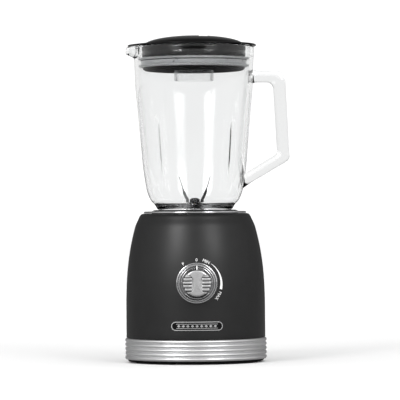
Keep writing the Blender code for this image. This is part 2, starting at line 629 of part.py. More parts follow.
def make_lid():
    hole = CAP_R + 0.4
    top = [(r, dome_height(r)) for r in (hole, 38, 46, 53, 57.5)]
    under = [(r, dome_height(r) - 2.2) for r in (56.8, 50, 42, 33.4)]
    cover = turned("lid_cover", [
        (26.4, CAP_SEAT - 0.4), (hole, CAP_SEAT - 0.4)] + top + [(DOME_R - 0.5, BRIM_TOP),
        (BRIM_R - 1.2, BRIM_TOP - 0.3), (BRIM_R, BRIM_TOP - 1.2), (BRIM_R - 0.5, BRIM_BOTTOM),
        (56.8, BRIM_BOTTOM)] + under + [(33.4, CAP_SEAT - 2.4), (26.4, CAP_SEAT - 2.4)], "gloss_black")
    cover = settled(cover, "gloss_black")
    for vertex in cover.data.vertices:
        x, y, z = vertex.co / MM
        from_left = in_degrees(Vector((x, y)).angle(Vector((-1, 0))))
        if hypot(x, y) > DOME_R + 4 and from_left < SPOUT_HALF_ANGLE + 6:
            swell = cos(pi / 2 * from_left / (SPOUT_HALF_ANGLE + 6)) ** 2
            vertex.co.xy *= 1 + 5.5 * swell / BRIM_R
    cut(cover, grip_slot("cover_slot"))
    turned("lid_plug", [
        (PLUG_R - 2.5, BRIM_BOTTOM - GAP), (PLUG_R, BRIM_BOTTOM - GAP), (PLUG_R, 354.6), (62.0, 354.2),
        (61.0, 352.5), (58.0, PLUG_BOTTOM), (SLEEVE_R + GAP, PLUG_BOTTOM), (SLEEVE_R + GAP, 353.4),
        (PLUG_R - 2.5, 353.4)], "black_plastic", MIDDLE)
    tube("filler_sleeve", SLEEVE_R - 2, SLEEVE_R, PLUG_BOTTOM, CAP_SEAT - 2.8, "black_plastic", steps=MIDDLE)
    inner = PLUG_R + GAP
    turned("lid_seal", [
        (inner, 366.8), (63.6, 366.8), (67.3, 366.0), (67.3, 364.7), (63.6, 363.8), (63.6, 358.6),
        (66.9, 357.7), (66.9, 356.4), (63.6, 355.0), (inner, 355.0)], "silicone", MIDDLE)


def grip_slot(name):
    """Cutter for the finger slot, which starts in the cover beside the filler cap."""
    return block(name, (SLOT_WIDTH, 80, 6), (SLOT_X, 0, SLOT_FLOOR + 3), None)


def make_cap():
    """The clear measuring cup hangs open end down from the filler cap."""
    top, inner = CAP_SEAT - 0.4, CUP_R - CUP_WALL
    turned("measuring_cup", [
        (0, top), (CUP_R, top), (CUP_R - 0.9, CUP_BOTTOM), (inner - 0.9, CUP_BOTTOM), (inner, top - 2),
        (0, top - 2)], "glass", MIDDLE)
    cap = turned("filler_cap", [(0, dome_height(0)), (12, dome_height(12)), (21, dome_height(21)),
                                (CAP_R - 0.6, dome_height(CAP_R)), (CAP_R, dome_height(CAP_R) - 0.6),
                                (CAP_R, CAP_SEAT), (0, CAP_SEAT)], "gloss_black", MIDDLE)
    cut(cap, grip_slot("cap_slot"))


make_housing()
make_trim_band()
make_base_plate()
make_feet()
make_base_screws()
make_top()
make_badge()
make_cord_inlet()
make_bezel()
make_knob()
make_knob_details()
make_stator()
make_motor_frame()
make_rotor()
make_jug()
make_collar()
make_blade_mount()
make_socket()
make_blades()
make_lid()
make_cap()
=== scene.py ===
"""The looks of the countertop blender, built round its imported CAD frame. Lengths are metres.

Turned pieces are remade finely from the outlines of their own CAD nodes; the jug, the blades, the knob,
the badge and the dial marks are built here. +Z is up, the knob faces -Y, the jug's handle points to +X.
"""
import json
from math import asin, cos, degrees, hypot, pi, radians, sin, sqrt

import bmesh
import bpy
from mathutils import Matrix, Vector


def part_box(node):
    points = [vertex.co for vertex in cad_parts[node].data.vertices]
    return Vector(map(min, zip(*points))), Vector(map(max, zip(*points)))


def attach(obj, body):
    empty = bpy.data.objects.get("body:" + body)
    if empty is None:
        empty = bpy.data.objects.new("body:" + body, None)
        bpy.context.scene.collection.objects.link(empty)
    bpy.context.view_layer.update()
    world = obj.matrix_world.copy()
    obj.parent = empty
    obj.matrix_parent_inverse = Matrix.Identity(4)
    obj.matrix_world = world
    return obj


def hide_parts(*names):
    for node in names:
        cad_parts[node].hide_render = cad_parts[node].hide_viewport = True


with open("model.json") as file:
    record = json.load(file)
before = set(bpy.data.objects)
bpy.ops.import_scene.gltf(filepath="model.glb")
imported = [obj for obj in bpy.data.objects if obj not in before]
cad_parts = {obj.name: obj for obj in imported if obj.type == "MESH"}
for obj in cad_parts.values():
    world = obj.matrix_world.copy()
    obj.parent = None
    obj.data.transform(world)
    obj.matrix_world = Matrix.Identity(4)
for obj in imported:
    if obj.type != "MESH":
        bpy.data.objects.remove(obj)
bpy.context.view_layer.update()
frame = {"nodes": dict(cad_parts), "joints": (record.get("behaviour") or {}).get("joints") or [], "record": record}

MM = 0.001
ROUND = 144                  # sides of a large round piece
SMALL_ROUND = 64
MIDDLE_ROUND = 96

# Camera, in metres, millimetres of lens and degrees
EYE_DISTANCE, EYE_HEIGHT, EYE_LEFT = 3.5, 0.177, 0.067
AIM = (0.0062, 0.0, 0.1950)
LENS, SENSOR, ROLL, FARTHEST = 260.8, 36.0, -0.45, 50

# Studio: greys from the camera's side (0) to behind the object (1)
SEEN_IN_GLOSS = ((0.0, 0.70), (0.4, 0.82), (0.6, 0.50), (0.8, 0.20), (1.0, 0.16))
MIRRORED_IN_GLASS = ((0.0, 0.10), (0.5, 0.35), (1.0, 0.75))
SEEN_THROUGH_GLASS = ((0.0, 0.05), (0.3, 0.22), (0.6, 0.68), (0.85, 0.88), (1.0, 0.975))
CEILING, CEILING_STARTS, CEILING_FULL, WHITE = 0.10, 0.45, 0.9, 1.15
# The floor's greys: painted darker where gloss and glass mirror it, greyer near the object as a painted shadow,
# and plain white far off
FLOOR_IN_GLOSS, FLOOR_IN_GLASS, FLOOR_PAINTED_SHADOW, FLOOR_FAR = 0.20, 0.03, 0.78, 0.99
FLOOR_SHADOW_WITHIN = (0.25, 1.5)                        # metres from the object
FLOOR = ((-30, -6, 0), (30, -6, 0), (30, 60, 0), (-30, 60, 0))
SOFTBOX_DISTANCE, SOFTBOX_HEIGHT, SOFTBOX_FADE, SOFTBOX_IN_GLASS = 1.6, 1.05, 0.4, 0.12
SOFTBOX_SIZE = (0.95, 1.3)
SOFTBOXES = {"left": (-36, 50), "right": (32, 34)}      # degrees from the front, and watts
# A ray crosses two faces of glass at each wall. These lie just above the count of one wall passed, and of
# one wall passed and the next entered
ONE_WALL, INTO_SECOND_WALL = 2.5, 3.5

NOISE_SPREAD = (0.3, 0.7)    # most of a noise's values lie between these

KNOB_CENTRE = Vector(next(joint["pos_m"] for joint in frame["joints"] if joint["name"] == "knob_turn"))


def placed(name, data):
    """A new object in the scene."""
    obj = bpy.data.objects.new(name, data)
    bpy.context.scene.collection.objects.link(obj)
    return obj


# ---- studio

def make_camera():
    eye = Vector((AIM[0] - EYE_LEFT, -EYE_DISTANCE, EYE_HEIGHT))
    data = bpy.data.cameras.new("camera")
    data.lens, data.sensor_width, data.clip_end = LENS, SENSOR, FARTHEST
    camera = placed("camera", data)
    facing = (Vector(AIM) - eye).to_track_quat("-Z", "Y")
    camera.location = eye
    camera.rotation_euler = (facing.to_matrix() @ Matrix.Rotation(radians(ROLL), 3, "Z")).to_euler()
    bpy.context.scene.camera = camera


def joined_by(tree, operation, first, second):
    """A Math node on two sockets or numbers."""
    node = tree.nodes.new("ShaderNodeMath")
    node.operation = operation
    for socket, value in zip(node.inputs, (first, second)):
        if isinstance(value, float):
            socket.default_value = value
        else:
            tree.links.new(value, socket)
    return node.outputs[0]


def mapped(tree, value, given=(0.0, 1.0), wanted=(0.0, 1.0), kind="LINEAR"):
    """A Map Range node, which turns the given range into the wanted one."""
    node = tree.nodes.new("ShaderNodeMapRange")
    node.interpolation_type = kind
    for socket, number in zip(("From Min", "From Max", "To Min", "To Max"), (*given, *wanted)):
        node.inputs[socket].default_value = number
    tree.links.new(value, node.inputs["Value"])
    return node.outputs[0]


def mirrored(tree, path):
    """1 for a ray that gloss or metal has mirrored on its way, even behind glass. 0 for any other, and for
    one that has only bounced about inside one wall of glass."""
    once = joined_by(tree, "MINIMUM", path.outputs["Glossy Depth"], 1.0)
    glossy = joined_by(tree, "MULTIPLY", once, path.outputs["Is Glossy Ray"])
    near = joined_by(tree, "LESS_THAN", path.outputs["Transmission Depth"], INTO_SECOND_WALL)
    inside_wall = joined_by(tree, "MULTIPLY", near, path.outputs["Is Transmission Ray"])
    return joined_by(tree, "MAXIMUM", joined_by(tree, "SUBTRACT", glossy, inside_wall), 0.0)


def add_light(name, at, target, size, power):
    """A softbox, brightest in the middle and fading to its edges. Its mirror image in the nearest wall of
    glass is dimmer."""
    data = bpy.data.lights.new(name, "AREA")
    data.shape, data.size, data.size_y, data.energy = "RECTANGLE", *size, power
    data.use_nodes = True
    tree = data.node_tree
    place = tree.nodes.new("ShaderNodeSeparateXYZ")
    tree.links.new(tree.nodes.new("ShaderNodeNewGeometry").outputs["Parametric"], place.inputs[0])
    across, along = [mapped(tree, joined_by(tree, "PINGPONG", place.outputs[axis], 0.5),
                            (0.0, SOFTBOX_FADE), kind="SMOOTHSTEP") for axis in ("X", "Y")]
    fade = joined_by(tree, "MULTIPLY", across, along)
    path = tree.nodes.new("ShaderNodeLightPath")
    by_wall = joined_by(tree, "LESS_THAN", path.outputs["Transmission Depth"], ONE_WALL)
    dimmed = joined_by(tree, "MULTIPLY", path.outputs["Is Singular Ray"], by_wall)
    dimmed = joined_by(tree, "MULTIPLY", dimmed, 1 - SOFTBOX_IN_GLASS)
    fade = joined_by(tree, "MULTIPLY", fade, joined_by(tree, "SUBTRACT", 1.0, dimmed))
    tree.links.new(fade, tree.nodes["Emission"].inputs["Strength"])
    lamp = placed(name, data)
    lamp.location = at
    lamp.rotation_euler = (Vector(target) - Vector(at)).to_track_quat("-Z", "Y").to_euler()


def depth_ramp(tree, depth, greys):
    """A grey that changes from the camera's side of the studio to behind the object."""
    ramp = tree.nodes.new("ShaderNodeValToRGB")
    while len(ramp.color_ramp.elements) < len(greys):
        ramp.color_ramp.elements.new(0.5)
    for stop, (position, grey) in zip(ramp.color_ramp.elements, greys):
        stop.position, stop.color = position, (grey, grey, grey, 1)
    tree.links.new(depth, ramp.inputs["Fac"])
    return ramp.outputs["Color"]


def choose_colour(tree, factor, first, second):
    """A Mix node between two colours, each a socket or a grey."""
    mix = tree.nodes.new("ShaderNodeMix")
    mix.data_type = "RGBA"
    tree.links.new(factor, mix.inputs["Factor"])
    for value, socket in ((first, mix.inputs["A"]), (second, mix.inputs["B"])):
        if isinstance(value, float):
            socket.default_value = (value, value, value, 1)
        else:
            tree.links.new(value, socket)
    return mix.outputs["Result"]


def make_world():
    """A white studio. What shows through glass is a little greyer, and what shows in gloss is darker at the
    sides and behind, as with black flags round a product, so that glass and metal keep their contrast."""
    world = bpy.data.worlds.new("studio")
    bpy.context.scene.world = world
    world.use_nodes = True
    tree = world.node_tree
    tree.nodes.clear()
    split = tree.nodes.new("ShaderNodeSeparateXYZ")
    tree.links.new(tree.nodes.new("ShaderNodeTexCoord").outputs["Generated"], split.inputs[0])
    path = tree.nodes.new("ShaderNodeLightPath")
    depth = mapped(tree, split.outputs["Y"], (-1.0, 1.0))
    rise = mapped(tree, split.outputs["Z"], (CEILING_STARTS, CEILING_FULL))
    gloss = choose_colour(tree, rise, depth_ramp(tree, depth, SEEN_IN_GLOSS), CEILING)
    gloss = choose_colour(tree, path.outputs["Is Singular Ray"], gloss,
                          depth_ramp(tree, depth, MIRRORED_IN_GLASS))
    colour = choose_colour(tree, path.outputs["Is Transmission Ray"], WHITE,
                           depth_ramp(tree, depth, SEEN_THROUGH_GLASS))
    colour = choose_colour(tree, mirrored(tree, path), colour, gloss)
    shader = tree.nodes.new("ShaderNodeBackground")
    tree.links.new(colour, shader.inputs["Color"])
    output = tree.nodes.new("ShaderNodeOutputWorld")
    tree.links.new(shader.outputs[0], output.inputs["Surface"])


def make_studio():
    bpy.context.scene.view_settings.view_transform = "Standard"
    make_camera()
    make_world()
    for side, (angle, power) in SOFTBOXES.items():
        turn = radians(angle)
        at = (SOFTBOX_DISTANCE * sin(turn), -SOFTBOX_DISTANCE * cos(turn), SOFTBOX_HEIGHT)
        add_light(f"softbox_{side}", at, (0, 0, SOFTBOX_HEIGHT), SOFTBOX_SIZE, power)
    new_mesh("floor", FLOOR, [(0, 1, 2, 3)], shadow_painted_floor())


# ---- materials

class Look:
    """A material under construction: a Principled shader and the nodes that feed it."""

    def __init__(self, name, colour, roughness, metallic=0.0, **constants):
        self.name = name
        self.material = bpy.data.materials.new(name)
        self.material.use_nodes = True
        self.tree = self.material.node_tree
        self.shader = self.tree.nodes["Principled BSDF"]
        self.colour = colour
        self.place = self.tree.nodes.new("ShaderNodeTexCoord").outputs["Object"]
        constants.update(Base_Color=(*colour, 1), Roughness=roughness, Metallic=metallic)
        for socket, value in constants.items():
            self.shader.inputs[socket.replace("_", " ")].default_value = value

    def node(self, kind, **inputs):
        made = self.tree.nodes.new(kind)
        for name, value in inputs.items():
            made.inputs[name].default_value = value
        return made

    def link(self, source, target):
        self.tree.links.new(source, target)

    def noise(self, scale, detail=3.0, stretch=(1, 1, 1)):
        """Noise whose grain is 1/scale metres, drawn out where stretch is below 1."""
        mapping = self.node("ShaderNodeMapping", Scale=stretch)
        made = self.node("ShaderNodeTexNoise", Scale=scale, Detail=detail, Roughness=0.55)
        self.link(self.place, mapping.inputs["Vector"])
        self.link(mapping.outputs[0], made.inputs["Vector"])
        return made.outputs["Fac"]

    def vary_colour(self, fac, darker, lighter):
        """The base colour swings between these multiples of itself."""
        ramp = self.node("ShaderNodeValToRGB")
        for stop, factor, position in zip(ramp.color_ramp.elements, (darker, lighter), NOISE_SPREAD):
            stop.position = position
            stop.color = (*[min(1.0, part * factor) for part in self.colour], 1)
        self.link(fac, ramp.inputs["Fac"])
        self.link(ramp.outputs["Color"], self.shader.inputs["Base Color"])

    def vary_roughness(self, fac, low, high):
        self.link(mapped(self.tree, fac, NOISE_SPREAD, (low, high)), self.shader.inputs["Roughness"])

    def bump(self, fac, depth, strength):
        bump = self.node("ShaderNodeBump", Strength=strength, Distance=depth)
        self.link(fac, bump.inputs["Height"])
        self.link(bump.outputs[0], self.shader.inputs["Normal"])


def finish(name, colour, roughness, tint, gloss, relief, metallic=0.0, **constants):
    """A look with its own colour, roughness and surface noises. Each of the three is given as a noise's
    scale, detail and stretch, and then two numbers: the colour's darkest and lightest multiples, the
    lowest and highest roughness, and the bump's depth and strength."""
    look = Look(name, colour, roughness, metallic, **constants)
    look.vary_colour(look.noise(*tint[0]), *tint[1:])
    if gloss:
        look.vary_roughness(look.noise(*gloss[0]), *gloss[1:])
    look.bump(look.noise(*relief[0]), *relief[1:])
    return look


def shadow_painted_floor():
    """Matt white, with painted shade: a little darker near the object, a painted shadow, and darker where it is
    mirrored in the object, a painted shade in its reflections.
    """
    look = Look("floor_white_painted_shadow", (FLOOR_FAR, FLOOR_FAR, FLOOR_FAR), 0.6, Specular_IOR_Level=0.1)
    distance = look.node("ShaderNodeVectorMath")
    distance.operation = "LENGTH"
    look.link(look.place, distance.inputs[0])
    # Painted shadow: the floor's colour greyer near the object
    grey = mapped(look.tree, distance.outputs["Value"], FLOOR_SHADOW_WITHIN, (FLOOR_PAINTED_SHADOW, FLOOR_FAR))
    look.link(grey, look.shader.inputs["Base Color"])
    # Painted shade in its reflections: a darker floor where gloss and glass mirror it
    darker_in_reflections = look.node("ShaderNodeBsdfDiffuse")
    choose = look.node("ShaderNodeMixShader")
    path = look.node("ShaderNodeLightPath")
    in_glass = mapped(look.tree, path.outputs["Is Singular Ray"], wanted=(FLOOR_IN_GLOSS, FLOOR_IN_GLASS))
    look.link(in_glass, darker_in_reflections.inputs["Color"])
    look.link(mirrored(look.tree, path), choose.inputs["Fac"])
    look.link(look.shader.outputs[0], choose.inputs[1])
    look.link(darker_in_reflections.outputs[0], choose.inputs[2])
    look.link(choose.outputs[0], look.tree.nodes["Material Output"].inputs["Surface"])
    return look.material


def clear_glass(name, colour):
    """Pressed glass, its surface faintly uneven."""
    return finish(name, colour, 0.0, ((9, 2), 0.985, 1.0), None, ((26, 2, (1, 1, 0.35)), 0.0002, 0.10),
                  Transmission_Weight=1.0, IOR=1.43)


def clear_plastic():
    """Thin clear moulding: all but invisible face on, with its edges showing as grey lines."""
    look = finish("clear_plastic", (0.55, 0.56, 0.57), 0.06, ((20,), 0.95, 1.0), ((40, 3), 0.04, 0.10),
                  ((45, 2), 0.0001, 0.12))
    edge = look.node("ShaderNodeLayerWeight", Blend=0.35)
    opacity = mapped(look.tree, edge.outputs["Facing"], (0.35, 1.0), (0.05, 0.85))
    look.link(opacity, look.shader.inputs["Alpha"])
    return look


LEVEL = (0.02, 0.02, 1)             # draws noise out round the motor's axis
FINE_LEVEL = (0.01, 0.01, 1)

LOOKS = {look.name: look.material for look in (
    finish("soft_black", (0.007, 0.007, 0.0072), 0.42, ((60, 4), 0.9, 1.12), ((35, 3), 0.39, 0.45),
           ((2600, 2), 0.00003, 0.5), Specular_IOR_Level=0.4),
    finish("gloss_black", (0.003, 0.003, 0.0031), 0.05, ((40,), 0.85, 1.2), ((25, 4), 0.03, 0.08),
           ((55, 2), 0.00006, 0.35), Specular_IOR_Level=0.2),
    finish("black_plastic", (0.006, 0.006, 0.0063), 0.5, ((80,), 0.85, 1.2), ((50, 4), 0.44, 0.56),
           ((1800, 2), 0.00004, 0.6), Specular_IOR_Level=0.04),
    finish("chrome", (0.80, 0.80, 0.81), 0.13, ((18, 4), 0.94, 1.03), ((30, 5), 0.09, 0.17),
           ((90, 3, (1, 1, 5)), 0.00005, 0.25), 1.0),
    finish("satin_chrome", (0.78, 0.78, 0.785), 0.28, ((30, 4), 0.95, 1.03), ((60, 4), 0.24, 0.34),
           ((1500, 2), 0.00002, 0.5), 1.0),
    finish("steel", (0.50, 0.50, 0.51), 0.26, ((120, 4, (1, 1, 0.2)), 0.8, 1.15),
           ((300, 3, (1, 0.1, 1)), 0.18, 0.36), ((900, 2, (1, 0.08, 1)), 0.00003, 0.4), 1.0),
    # Stacked sheets: fine level lines
    finish("silicon_steel", (0.22, 0.22, 0.235), 0.45, ((900, 2, LEVEL), 0.6, 1.2), ((90,), 0.38, 0.55),
           ((1400, 1, FINE_LEVEL), 0.0002, 0.8), 1.0),
    # Wound wire: fine upright lines
    finish("copper", (0.66, 0.30, 0.13), 0.3, ((500, 2, (1, 1, 0.15)), 0.7, 1.15), ((80,), 0.22, 0.42),
           ((1100, 1, (1, 1, 0.05)), 0.0002, 0.8), 1.0),
    finish("brass", (0.70, 0.52, 0.22), 0.3, ((60,), 0.85, 1.08), ((90,), 0.22, 0.4),
           ((700, 2), 0.00003, 0.4), 1.0),
    finish("carbon", (0.02, 0.02, 0.021), 0.6, ((400,), 0.6, 1.5), ((300,), 0.45, 0.75),
           ((900, 3), 0.00008, 0.6)),
    finish("rubber", (0.010, 0.010, 0.0105), 0.7, ((150,), 0.8, 1.3), ((200,), 0.62, 0.8),
           ((1400, 3), 0.00006, 0.6), Specular_IOR_Level=0.35),
    finish("silicone", (0.72, 0.73, 0.74), 0.32, ((35,), 0.92, 1.05), ((70,), 0.26, 0.4),
           ((500, 2), 0.00003, 0.4), Transmission_Weight=0.35, IOR=1.41),
    clear_glass("jug_glass", (0.985, 0.99, 0.99)),
    clear_plastic(),
    finish("board_green", (0.02, 0.12, 0.05), 0.4, ((260, 2), 0.6, 1.5), ((120,), 0.3, 0.5),
           ((600, 1), 0.00006, 0.6)),
)}
# The print on the housing
MARK = finish("mark_white", (0.80, 0.80, 0.80), 0.5, ((400,), 0.93, 1.05), ((300,), 0.42, 0.6),
              ((900,), 0.00002, 0.4)).material
# The trim band, drawn round it, so that its lines run level
BAND_METAL = finish("brushed_chrome", (0.94, 0.94, 0.945), 0.40, ((420, 3, (0.012, 0.012, 1)), 0.84, 1.02),
                    ((220, 3, LEVEL), 0.37, 0.43), ((1500, 2, FINE_LEVEL), 0.00001, 0.3), 1.0).material
# The blades, ground, in a steel darker than the plain steel
BLADE_METAL = finish("blade_steel", (0.13, 0.13, 0.135), 0.30, ((160, 4, (1, 1, 0.2)), 0.7, 1.4),
                     ((300, 3, (1, 0.1, 1)), 0.22, 0.4), ((900, 2, (1, 0.08, 1)), 0.00003, 0.4),
                     1.0).material
# The jug's glass where it is thick, and so a little greyer
HANDLE_GLASS = clear_glass("handle_glass", (0.93, 0.935, 0.935)).material
# The knob's slope, turned: its chrome painted darker, as painted shade
SLOPE_SHADE_CHROME = finish("painted_shade_chrome", (0.42, 0.42, 0.425), 0.12, ((30, 4), 0.9, 1.05), ((60, 4), 0.10, 0.15),
                     ((1500, 2), 0.00001, 0.3), 1.0).material
SLOTS = {part["node"]: part["material_slot"] for part in frame["record"]["subparts"]}


def dress_nodes():
    """Each CAD node takes the material of its own slot."""
    for name, node in frame["nodes"].items():
        node.data.materials.clear()
        node.data.materials.append(LOOKS[SLOTS[name]])


# ---- mesh tools

CORNER, SOFT_CORNER, CUT_CORNER = 32, 35, 40            # degrees of turn that count as a corner
WELD, NODE_WELD, PRINT_WELD = 0.000002, 0.00001, 0.000001
ON_AXIS = 0.00002            # points this near an axis or a plane lie on it
OUTLINE_DIGITS = 5
ROUNDING_STEPS = 4
UNTURNED = Matrix.Identity(4)


def new_mesh(name, points, faces, material):
    mesh = bpy.data.meshes.new(name)
    mesh.from_pydata([Vector(point) for point in points], [], faces)
    mesh.materials.append(material)
    return placed(name, mesh)


def loft(name, rings, material):
    """A skin through rings of as many points each, with a flat face over either end."""
    count = len(rings[0])
    faces = [(start + k, start + (k + 1) % count, start + count + (k + 1) % count, start + count + k)
             for start in range(0, count * (len(rings) - 1), count) for k in range(count)]
    last = count * (len(rings) - 1)
    faces += [tuple(range(count)), tuple(range(last, last + count))]
    points = [point for ring in rings for point in ring]
    return tidy(new_mesh(name, points, faces, material))


def soften(obj):
    """Shades the piece smooth, and keeps its corners."""
    obj.data.shade_smooth()
    obj.data.set_sharp_from_angle(angle=radians(CORNER))
    return obj


def tidy(obj, distance=WELD):
    """Welds the piece's points and turns its faces outwards."""
    builder = bmesh.new()
    builder.from_mesh(obj.data)
    bmesh.ops.remove_doubles(builder, verts=builder.verts, dist=distance)
    bmesh.ops.dissolve_degenerate(builder, dist=distance, edges=builder.edges)
    bmesh.ops.recalc_face_normals(builder, faces=builder.faces)
    builder.to_mesh(obj.data)
    builder.free()
    return soften(obj)


def stand_for(obj, body, *nodes):
    """The piece rides with the body and stands for these CAD nodes, which are hidden."""
    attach(obj, body)
    if nodes:
        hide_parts(*nodes)
    return obj


def body_of(node):
    return next(body for body, nodes in frame["record"]["behaviour"]["bodies"].items() if node in nodes)


def bevel(obj, width, segments, corner):
    """Rounds the edges that turn more than this many degrees."""
    modifier = obj.modifiers.new("edges", "BEVEL")
    modifier.width, modifier.segments = width, segments
    modifier.limit_method, modifier.angle_limit = "ANGLE", radians(corner)
    return soften(apply_modifiers(obj))


def evaluated_mesh(obj):
    bpy.context.view_layer.update()
    graph = bpy.context.evaluated_depsgraph_get()
    return bpy.data.meshes.new_from_object(obj.evaluated_get(graph))


def apply_modifiers(obj):
    mesh = evaluated_mesh(obj)
    obj.modifiers.clear()
    obj.data = mesh
    return obj


def boolean(obj, others, operation):
    """Cuts or joins with the other objects, which are then removed."""
    for other in others:
        modifier = obj.modifiers.new("combine", "BOOLEAN")
        modifier.operation = operation
        modifier.object = other
    apply_modifiers(obj)
    for other in others:
        bpy.data.objects.remove(other, do_unlink=True)
    return tidy(obj)


def bevelled(node, width):
    """The CAD node's own shape with its edges rounded."""
    obj = frame["nodes"][node].copy()
    obj.data = obj.data.copy()
    for key in list(obj.keys()):
        del obj[key]
    obj.parent = None
    obj.name = f"{node}_piece"
    bpy.context.scene.collection.objects.link(obj)
    tidy(obj, NODE_WELD)
    return stand_for(bevel(obj, width, 3, SOFT_CORNER), body_of(node), node)


def outline_of(node, angle=0.0, to_axis=UNTURNED):
    """The turned node's own outline, in order round its section, as (radius, height) points. It is read
    from the node's corners in the half-plane at this angle; to_axis turns the node's axis upright."""
    mesh = frame["nodes"][node].data
    along = Vector((cos(radians(angle)), sin(radians(angle)), 0))
    across = Vector((-along.y, along.x, 0))
    places = {}
    for vertex in mesh.vertices:
        point = to_axis @ vertex.co
        if abs(point.dot(across)) < ON_AXIS and point.dot(along) > -ON_AXIS / 2:
            places[vertex.index] = (round(point.dot(along), OUTLINE_DIGITS), round(point.z, OUTLINE_DIGITS))
    links = {}
    for edge in mesh.edges:
        ends = [places.get(index) for index in edge.vertices]
        if None not in ends and ends[0] != ends[1]:
            links.setdefault(ends[0], set()).add(ends[1])
            links.setdefault(ends[1], set()).add(ends[0])
    tips = [place for place in links if place[0] < ON_AXIS]
    start = max(tips or links, key=lambda place: (place[1], place[0]))
    route, here = [start], max(links[start] - set(tips) or links[start])
    while here != start and here not in route:
        route.append(here)
        ahead = [place for place in links[here] if place not in route]
        if not ahead:
            break
        here = ahead[0] if len(ahead) == 1 else max(ahead)
    return [Vector(place) for place in route]


def curved(chain, steps):
    """A smooth curve through the points of an open chain."""
    if len(chain) < 3:
        return list(chain)
    ends = [2 * chain[0] - chain[1]] + list(chain) + [2 * chain[-1] - chain[-2]]
    points = []
    for i in range(1, len(ends) - 2):
        a, b, c, d = ends[i - 1:i + 3]
        knots = [0.0]
        for first, second in ((a, b), (b, c), (c, d)):
            knots.append(knots[-1] + max(1e-9, (second - first).length) ** 0.5)
        for step in range(steps):
            t = knots[1] + (knots[2] - knots[1]) * step / steps
            points.append(spline_point((a, b, c, d), knots, t))
    return points + [chain[-1]]


def spline_point(controls, knots, t):
    """A point of the centripetal Catmull-Rom curve through four controls."""
    level = list(controls)
    for pairs in (((0, 1), (1, 2), (2, 3)), ((0, 2), (1, 3)), ((1, 2),)):
        level = [((knots[last] - t) * level[i] + (t - knots[first]) * level[i + 1])
                 / (knots[last] - knots[first]) for i, (first, last) in enumerate(pairs)]
    return level[0]


def refined(outline, rounding, steps=4, corner=CORNER):
    """The outline with its gentle stretches curved and its corners rounded."""
    closed = min(point.x for point in outline) > ON_AXIS
    count = len(outline)

    def turn(i):
        before, after = outline[i] - outline[i - 1], outline[(i + 1) % count] - outline[i]
        return degrees(before.angle(after, 0))

    corners = [i for i in range(count) if (not closed and i in (0, count - 1)) or turn(i) > corner]
    spans = list(zip(corners, corners[1:] + ([corners[0] + count] if closed else [])))
    points = []
    for first, last in spans:
        chain = [outline[i % count] for i in range(first, last + 1)]
        points += [(point, k == 0) for k, point in enumerate(curved(chain, steps)[:-1])]
    if not closed:
        points.append((outline[-1], False))
        points[0] = (outline[0], False)
    rounded = []
    for i, (point, sharp) in enumerate(points):
        if not sharp:
            rounded.append(point)
            continue
        before, after = points[i - 1][0] - point, points[(i + 1) % len(points)][0] - point
        reach = min(rounding, 0.45 * before.length, 0.45 * after.length)
        start, end = point + before.normalized() * reach, point + after.normalized() * reach
        for k in range(ROUNDING_STEPS + 1):
            t = k / ROUNDING_STEPS
            rounded.append((1 - t) ** 2 * start + 2 * t * (1 - t) * point + t * t * end)
    return rounded, closed


def lathe(name, outline, closed, material, sides=ROUND, turn=UNTURNED, shape=None):
    """Turns the outline about its own Z. shape may move each point, given (radius, angle, height, index)."""
    points, faces = [], []
    for i, place in enumerate(outline):
        for side in range(sides):
            angle = 2 * pi * side / sides
            radius, height = place
            if shape:
                radius, height = shape(radius, angle, height, i)
            points.append(turn @ Vector((radius * cos(angle), radius * sin(angle), height)))
    rows = len(outline)
    for i in range(rows if closed else rows - 1):
        j = (i + 1) % rows
        for side in range(sides):
            after = (side + 1) % sides
            faces.append((i * sides + side, j * sides + side, j * sides + after, i * sides + after))
    return tidy(new_mesh(name, points, faces, material))


def turned(node, rounding, sides=ROUND, angle=0.0, steps=4, to_axis=UNTURNED, shape=None):
    """A fine copy of a turned CAD node."""
    outline, closed = refined(outline_of(node, angle, to_axis), rounding, steps)
    return lathe(f"{node}_piece", outline, closed, LOOKS[SLOTS[node]], sides, to_axis.inverted(), shape)


def remade(node, *arguments, **options):
    """A fine copy of a turned CAD node, which it replaces."""
    return stand_for(turned(node, *arguments, **options), body_of(node), node)


# ---- base

def radius_at(outline, height):
    """Outer radius of an outline at a height."""
    found = 0.0
    for a, b in zip(outline, outline[1:] + outline[:1]):
        low, high = min(a.y, b.y), max(a.y, b.y)
        if low <= height <= high and high > low:
            found = max(found, a.x + (b.x - a.x) * (height - a.y) / (b.y - a.y))
    return found


# The world turned so that its front, or its back, faces up
FRONT_UP = Matrix(((1, 0, 0, 0), (0, 0, 1, 0), (0, -1, 0, 0), (0, 0, 0, 1)))
BACK_UP = Matrix(((-1, 0, 0, 0), (0, 0, 1, 0), (0, 1, 0, 0), (0, 0, 0, 1)))
HOUSING_SIDE = refined(outline_of("base_housing"), 0.8 * MM, 5)[0]

BEADS, BEAD_BULGE, BEAD_SHARE, BEAD_STEPS = 5, 2.3 * MM, 0.93, 6


def on_housing(x, z, lift):
    """The point of the housing's front at x and z, lifted off its surface."""
    radius = radius_at(HOUSING_SIDE, z) + lift
    return Vector((x, -sqrt(radius ** 2 - x ** 2), z))


def wrapped(name, columns, low, high, material):
    """A thin plate on the housing's front. Its columns are (x, lower z, upper z), and it fills the depth
    between these two lifts off the surface."""
    return loft(name, [[on_housing(x, bottom, low), on_housing(x, bottom, high), on_housing(x, top, high),
                        on_housing(x, top, low)] for x, bottom, top in columns], material)


def meshed(name, curve):
    """A new object with the mesh that a curve or a text makes."""
    guide = placed(name, curve)
    mesh = evaluated_mesh(guide)
    bpy.data.objects.remove(guide, do_unlink=True)
    return placed(name, mesh)


